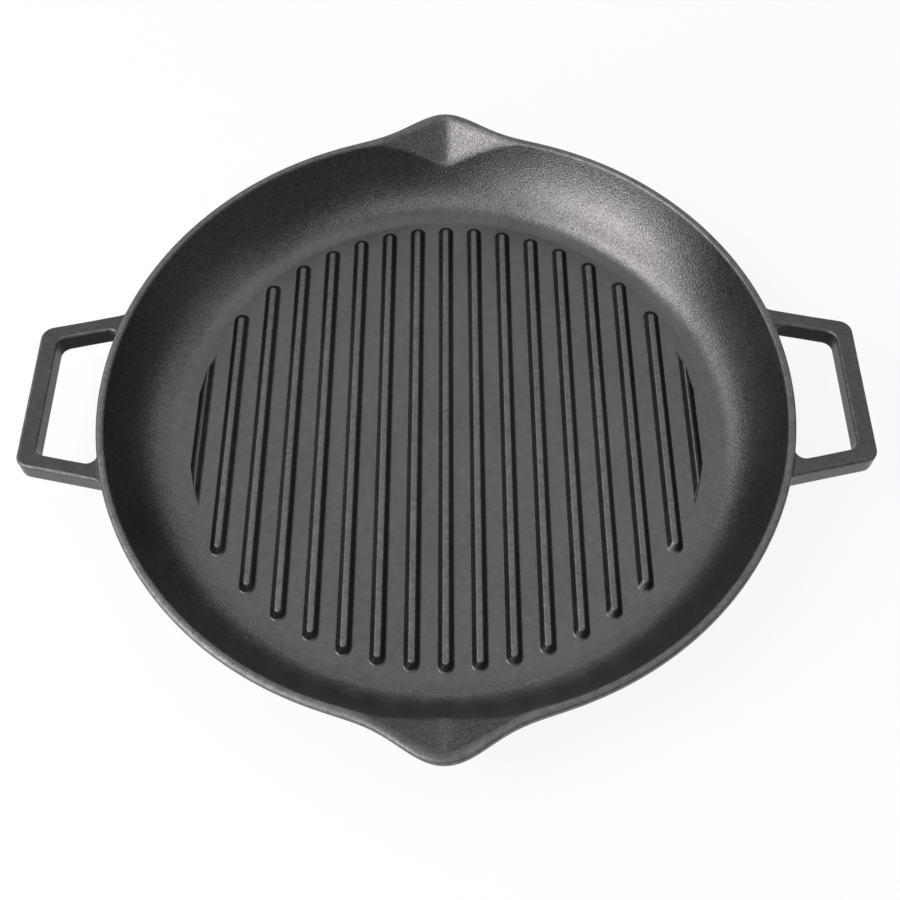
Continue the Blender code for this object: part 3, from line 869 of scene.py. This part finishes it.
def floor_material(stage):
    """Plain pale floor: near white as seen, with the object's shadow in it, fading far away."""
    material = bpy.data.materials.new("studio_floor")
    material.use_nodes = True
    tree = material.node_tree
    shader = tree.nodes["Principled BSDF"]
    shader.inputs["Base Color"].default_value = (0.80, 0.80, 0.80, 1.0)
    shader.inputs["Roughness"].default_value = 0.9
    leave = tree.nodes["Material Output"]
    rays = tree.nodes.new("ShaderNodeLightPath")
    seen = maths(tree, "MAXIMUM", rays.outputs["Is Camera Ray"], rays.outputs["Is Glossy Ray"])
    seen = maths(tree, "MAXIMUM", seen, rays.outputs["Is Transmission Ray"])
    glow = tree.nodes.new("ShaderNodeEmission")
    glow.inputs["Color"].default_value = (1.0, 1.0, 1.0, 1.0)
    reach = tree.nodes.new("ShaderNodeVectorMath")
    reach.operation = "LENGTH"
    tree.links.new(tree.nodes.new("ShaderNodeTexCoord").outputs["Object"], reach.inputs[0])
    fade = tree.nodes.new("ShaderNodeMapRange")
    fade.interpolation_type = "SMOOTHSTEP"
    fade.inputs["From Min"].default_value = stage.fade_start
    fade.inputs["From Max"].default_value = stage.fade_end
    fade.inputs["To Min"].default_value = 1.0
    fade.inputs["To Max"].default_value = stage.far_level
    tree.links.new(reach.outputs["Value"], fade.inputs["Value"])
    tree.links.new(fade.outputs["Result"], glow.inputs["Strength"])
    lit = tree.nodes.new("ShaderNodeMixShader")
    tree.links.new(maths(tree, "MULTIPLY", seen, stage.floor_glow), lit.inputs["Fac"])
    tree.links.new(shader.outputs["BSDF"], lit.inputs[1])
    tree.links.new(glow.outputs["Emission"], lit.inputs[2])
    clear = tree.nodes.new("ShaderNodeBsdfTransparent")
    under = tree.nodes.new("ShaderNodeNewGeometry")
    both = tree.nodes.new("ShaderNodeMixShader")
    tree.links.new(under.outputs["Backfacing"], both.inputs["Fac"])
    tree.links.new(lit.outputs["Shader"], both.inputs[1])
    tree.links.new(clear.outputs["BSDF"], both.inputs[2])
    tree.links.new(both.outputs["Shader"], leave.inputs["Surface"])
    return material


def studio_world(low, high):
    """A dim sky that brightens towards a direction above and behind the pan."""
    world = bpy.data.worlds.new("studio")
    world.use_nodes = True
    tree = world.node_tree
    back = tree.nodes["Background"]
    back.inputs["Color"].default_value = (1.0, 1.0, 1.0, 1.0)
    towards = tree.nodes.new("ShaderNodeVectorMath")
    towards.operation = "DOT_PRODUCT"
    towards.inputs[1].default_value = SKY_AXIS
    tree.links.new(tree.nodes.new("ShaderNodeTexCoord").outputs["Generated"], towards.inputs[0])
    rise = tree.nodes.new("ShaderNodeMapRange")
    rise.inputs["From Min"].default_value = SKY_START
    rise.inputs["From Max"].default_value = SKY_FULL
    tree.links.new(towards.outputs["Value"], rise.inputs["Value"])
    bend = maths(tree, "POWER", rise.outputs["Result"], SKY_POWER)
    level = maths(tree, "ADD", maths(tree, "MULTIPLY", bend, high - low), low)
    tree.links.new(level, back.inputs["Strength"])
    bpy.context.scene.world = world


def place_light(name, azimuth, elevation, distance, size, level):
    """A soft light at angles round and above the pan, in degrees, that faces the pan's middle.

    At level 1 its surface shines like white paper. The camera doesn't see it.
    """
    turn, lift = np.radians([azimuth, elevation])
    flat = np.cos(lift)
    place = distance * np.array([flat * np.cos(turn), flat * np.sin(turn), np.sin(lift)])
    data = bpy.data.lights.new(name, "AREA")
    data.shape = "RECTANGLE"
    data.size, data.size_y = size
    data.energy = np.pi * size[0] * size[1] * level
    light = bpy.data.objects.new(name, data)
    light.location = place.tolist()
    light.rotation_euler = Vector(place.tolist()).to_track_quat("Z", "Y").to_euler()
    light.visible_camera = False
    bpy.context.scene.collection.objects.link(light)


def add_camera(stage):
    """The camera at the photograph's place, rolled about its own axis."""
    data = bpy.data.cameras.new("camera")
    data.lens = stage.focal_length
    data.sensor_width = 36.0
    data.shift_x = stage.shift_x
    data.shift_y = stage.shift_y
    data.clip_start = 0.01
    data.clip_end = 50.0
    camera = bpy.data.objects.new("camera", data)
    place = Vector(stage.camera_place)
    look = (place - Vector(stage.camera_target)).to_track_quat("Z", "Y").to_matrix()
    roll = Matrix.Rotation(-stage.camera_roll, 3, "Z")
    camera.matrix_world = Matrix.Translation(place) @ (look @ roll).to_4x4()
    bpy.context.scene.collection.objects.link(camera)
    bpy.context.scene.camera = camera


# Each light's name, azimuth from +X, elevation, distance, size and level.
LAMPS = (
    ("key_light", 212.0, 13.5, 1.5, (0.7, 0.4), 11.4),
    ("left_light", 189.0, 37.0, 1.5, (0.6, 0.8), 3.3),
    ("high_left_light", 200.0, 52.0, 1.5, (0.6, 0.4), 8.8),
    ("front_light", 236.0, 20.0, 1.5, (0.5, 0.6), 5.2),
    ("front_top_light", 268.0, 50.0, 1.5, (1.4, 0.5), 1.8),
    ("back_left_light", 148.0, 26.0, 1.5, (0.7, 0.5), 2.3),
    ("back_right_light", 34.0, 22.0, 1.5, (0.6, 0.4), 1.0),
    ("low_back_light", 90.0, 10.0, 1.5, (1.4, 0.4), 1.1),
    ("right_top_light", 10.0, 62.0, 1.5, (0.8, 0.8), 0.4),
    ("right_light", 354.0, 28.0, 1.5, (0.9, 0.4), 0.7),
    ("under_light", 0.0, -90.0, 1.2, (1.5, 1.5), 0.6),
)


class GRIDDLE_OT_stage(bpy.types.Operator):
    """Build the studio: floor, backdrop, lights and camera"""

    bl_idname = "griddle.stage"
    bl_label = "Build Stage"

    def execute(self, context):
        stage = context.scene.griddle_stage
        turn = np.linspace(0.0, 2.0 * np.pi, FLOOR_SIDES, endpoint=False)
        level = np.array([FLOOR_BEND, 0.0])
        sweep = bent(level, np.array([1.0, 0.0]), np.array([1.0, FLOOR_RISE]), 12)
        profile = np.concatenate([[[FLOOR_MIDDLE, 0.0]], sweep])
        profile = profile * stage.floor_size - (0.0, FLOOR_DROP)
        rings = np.stack(
            [
                np.outer(profile[:, 0], np.cos(turn)),
                np.outer(profile[:, 0], np.sin(turn)),
                np.outer(profile[:, 1], np.ones_like(turn)),
            ],
            axis=-1,
        )
        numbers = np.arange(len(profile) * len(turn)).reshape(len(profile), len(turn))
        mesh = bpy.data.meshes.new("studio_floor")
        faces = [numbers[0].tolist()] + ring_faces(numbers).tolist()
        mesh.from_pydata(rings.reshape(-1, 3).tolist(), [], faces)
        mesh.shade_smooth()
        mesh.materials.append(floor_material(stage))
        floor = bpy.data.objects.new("studio_floor", mesh)
        context.scene.collection.objects.link(floor)
        studio_world(stage.sky_low, stage.sky_high)
        for lamp in LAMPS:
            place_light(*lamp)
        add_camera(stage)
        context.scene.view_settings.view_transform = "Standard"
        return {"FINISHED"}


class GRIDDLE_PT_sidebar(bpy.types.Panel):
    """Sidebar panel with the sizes, the finish and the build steps"""

    bl_idname = "GRIDDLE_PT_sidebar"
    bl_label = "Round Griddle Plate"
    bl_space_type = "VIEW_3D"
    bl_region_type = "UI"
    bl_category = "Griddle"

    def draw(self, context):
        layout = self.layout
        for step, settings in STEPS:
            box = layout.box()
            box.operator(step)
            for group in settings:
                values = getattr(context.scene, group)
                for label in values.__annotations__:
                    box.prop(values, label)


STEPS = (
    ("griddle.pan", ("griddle_pan", "griddle_spout", "griddle_iron")),
    ("griddle.ribs", ("griddle_rib",)),
    ("griddle.handles", ("griddle_handle",)),
    ("griddle.stage", ("griddle_stage",)),
)

SETTINGS = {
    "griddle_pan": GriddlePanSizes,
    "griddle_spout": GriddleSpoutSizes,
    "griddle_rib": GriddleRibSizes,
    "griddle_handle": GriddleHandleSizes,
    "griddle_iron": GriddleIronFinish,
    "griddle_stage": GriddleStageSettings,
}

OPERATORS = (GRIDDLE_OT_pan, GRIDDLE_OT_ribs, GRIDDLE_OT_handles, GRIDDLE_OT_stage)


def register():
    for group in SETTINGS.values():
        bpy.utils.register_class(group)
    for label, group in SETTINGS.items():
        setattr(bpy.types.Scene, label, bpy.props.PointerProperty(type=group))
    for operator in OPERATORS:
        bpy.utils.register_class(operator)
    bpy.utils.register_class(GRIDDLE_PT_sidebar)


def unregister():
    bpy.utils.unregister_class(GRIDDLE_PT_sidebar)
    for operator in reversed(OPERATORS):
        bpy.utils.unregister_class(operator)
    for label in SETTINGS:
        delattr(bpy.types.Scene, label)
    for group in reversed(list(SETTINGS.values())):
        bpy.utils.unregister_class(group)


def main():
    register()
    bpy.ops.griddle.pan()
    bpy.ops.griddle.ribs()
    bpy.ops.griddle.handles()
    bpy.ops.griddle.stage()


if __name__ == "__main__":
    main()
